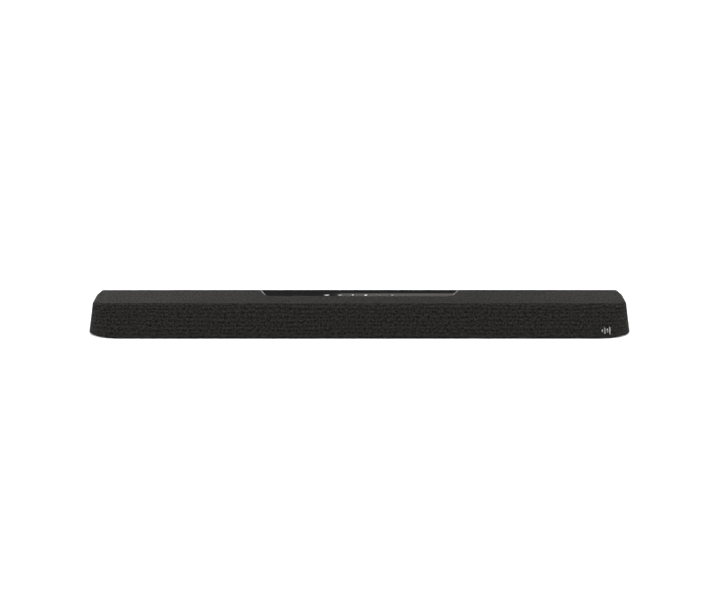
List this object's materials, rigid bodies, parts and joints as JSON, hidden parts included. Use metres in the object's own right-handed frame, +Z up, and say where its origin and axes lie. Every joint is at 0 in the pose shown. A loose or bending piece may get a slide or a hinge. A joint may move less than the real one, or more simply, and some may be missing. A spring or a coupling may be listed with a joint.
{
  "type": "soundbar",
  "caption": "Long low soundbar in dark fabric with front corners rounded, a glossy recessed control tray with push buttons on top, and rear connector bays.",
  "frame": {"origin": "centre of the bounding box's bottom, on the table under the middle of the bar", "axes": "+X along the bar to the listener's right, -Y towards the listener, +Z up"},
  "size_m": [1, 0.12, 0.06],
  "materials": {
    "acoustic_fabric": "heathered charcoal knitted acoustic fabric",
    "matte_black": "fine-textured black moulded plastic",
    "gloss_black": "polished piano black",
    "rubber": "soft black rubber",
    "zinc_steel": "zinc-plated",
    "aluminium": "extruded, bare",
    "circuit_board": "green solder mask",
    "cone_paper": "pressed black pulp",
    "dome_silk": "doped cloth",
    "driver_frame": "black glass-filled plastic",
    "badge_metal": "satin silver"
  },
  "bodies": {
    "housing": {"fabric_wrap": "acoustic_fabric", "grille_frame": "matte_black", "driver_baffle": "matte_black", "rear_cover": "matte_black", "bottom_cover": "matte_black", "foot_left": "rubber", "foot_right": "rubber", "control_tray": "gloss_black", "keypad_board": "circuit_board", "main_board": "circuit_board", "heat_sink": "aluminium", "wireless_module": "zinc_steel", "power_board": "circuit_board", "display_module": "circuit_board", "optical_socket": "matte_black", "hdmi_socket_1": "zinc_steel", "hdmi_socket_2": "zinc_steel", "usb_socket": "zinc_steel", "aux_jack": "matte_black", "power_inlet": "matte_black", "keyhole_plate_left": "zinc_steel", "keyhole_plate_right": "zinc_steel", "front_badge": "badge_metal", "case_screw_1": "zinc_steel", "case_screw_2": "zinc_steel", "case_screw_3": "zinc_steel", "case_screw_4": "zinc_steel", "woofer_1_basket": "driver_frame", "woofer_1_surround": "rubber", "woofer_2_basket": "driver_frame", "woofer_2_surround": "rubber", "woofer_3_basket": "driver_frame", "woofer_3_surround": "rubber", "woofer_4_basket": "driver_frame", "woofer_4_surround": "rubber", "elevation_1_basket": "driver_frame", "elevation_1_surround": "rubber", "elevation_2_basket": "driver_frame", "elevation_2_surround": "rubber", "tweeter_1_frame": "driver_frame", "tweeter_2_frame": "driver_frame", "tweeter_3_frame": "driver_frame"},
    "button_power": {"button_power": "gloss_black"},
    "button_input": {"button_input": "gloss_black"},
    "button_link": {"button_link": "gloss_black"},
    "button_mode": {"button_mode": "gloss_black"},
    "button_volume_down": {"button_volume_down": "gloss_black"},
    "button_volume_up": {"button_volume_up": "gloss_black"},
    "woofer_1_cone": {"woofer_1_cone": "cone_paper"},
    "woofer_2_cone": {"woofer_2_cone": "cone_paper"},
    "woofer_3_cone": {"woofer_3_cone": "cone_paper"},
    "woofer_4_cone": {"woofer_4_cone": "cone_paper"},
    "elevation_1_cone": {"elevation_1_cone": "cone_paper"},
    "elevation_2_cone": {"elevation_2_cone": "cone_paper"},
    "tweeter_1_dome": {"tweeter_1_dome": "dome_silk"},
    "tweeter_2_dome": {"tweeter_2_dome": "dome_silk"},
    "tweeter_3_dome": {"tweeter_3_dome": "dome_silk"},
    "optical_shutter": {"optical_shutter": "matte_black"}
  },
  "joints": [
    {"name": "power_press", "type": "slide", "parent": "housing", "child": "button_power", "axis": [0, 0, 1], "range_m": [-0.0006, 0], "stiffness_N_per_m": 1200},
    {"name": "input_press", "type": "slide", "parent": "housing", "child": "button_input", "axis": [0, 0, 1], "range_m": [-0.0006, 0], "stiffness_N_per_m": 1200},
    {"name": "link_press", "type": "slide", "parent": "housing", "child": "button_link", "axis": [0, 0, 1], "range_m": [-0.0006, 0], "stiffness_N_per_m": 1200},
    {"name": "mode_press", "type": "slide", "parent": "housing", "child": "button_mode", "axis": [0, 0, 1], "range_m": [-0.0006, 0], "stiffness_N_per_m": 1200},
    {"name": "volume_down_press", "type": "slide", "parent": "housing", "child": "button_volume_down", "axis": [0, 0, 1], "range_m": [-0.0006, 0], "stiffness_N_per_m": 1200},
    {"name": "volume_up_press", "type": "slide", "parent": "housing", "child": "button_volume_up", "axis": [0, 0, 1], "range_m": [-0.0006, 0], "stiffness_N_per_m": 1200},
    {"name": "woofer_1_stroke", "type": "slide", "parent": "housing", "child": "woofer_1_cone", "axis": [0, -0.9211, 0.3893], "range_m": [-0.0015, 0.0015], "stiffness_N_per_m": 1000},
    {"name": "woofer_2_stroke", "type": "slide", "parent": "housing", "child": "woofer_2_cone", "axis": [0, -0.9211, 0.3893], "range_m": [-0.0015, 0.0015], "stiffness_N_per_m": 1000},
    {"name": "woofer_3_stroke", "type": "slide", "parent": "housing", "child": "woofer_3_cone", "axis": [0, -0.9211, 0.3893], "range_m": [-0.0015, 0.0015], "stiffness_N_per_m": 1000},
    {"name": "woofer_4_stroke", "type": "slide", "parent": "housing", "child": "woofer_4_cone", "axis": [0, -0.9211, 0.3893], "range_m": [-0.0015, 0.0015], "stiffness_N_per_m": 1000},
    {"name": "elevation_1_stroke", "type": "slide", "parent": "housing", "child": "elevation_1_cone", "axis": [0, 0, 1], "range_m": [-0.0015, 0.0015], "stiffness_N_per_m": 1200},
    {"name": "elevation_2_stroke", "type": "slide", "parent": "housing", "child": "elevation_2_cone", "axis": [0, 0, 1], "range_m": [-0.0015, 0.0015], "stiffness_N_per_m": 1200},
    {"name": "tweeter_1_stroke", "type": "slide", "parent": "housing", "child": "tweeter_1_dome", "axis": [0, -0.9211, 0.3893], "range_m": [-0.0002, 0.0002], "stiffness_N_per_m": 1500},
    {"name": "tweeter_2_stroke", "type": "slide", "parent": "housing", "child": "tweeter_2_dome", "axis": [0, -0.9211, 0.3893], "range_m": [-0.0002, 0.0002], "stiffness_N_per_m": 1500},
    {"name": "tweeter_3_stroke", "type": "slide", "parent": "housing", "child": "tweeter_3_dome", "axis": [0, -0.9211, 0.3893], "range_m": [-0.0002, 0.0002], "stiffness_N_per_m": 1500},
    {"name": "optical_shutter_flap", "type": "hinge", "parent": "housing", "child": "optical_shutter", "pos_m": [-0.07, 0.0335, 0.0231], "axis": [1, 0, 0], "range_deg": [-82, 0], "stiffness_Nm_per_rad": 0.0006}
  ]
}
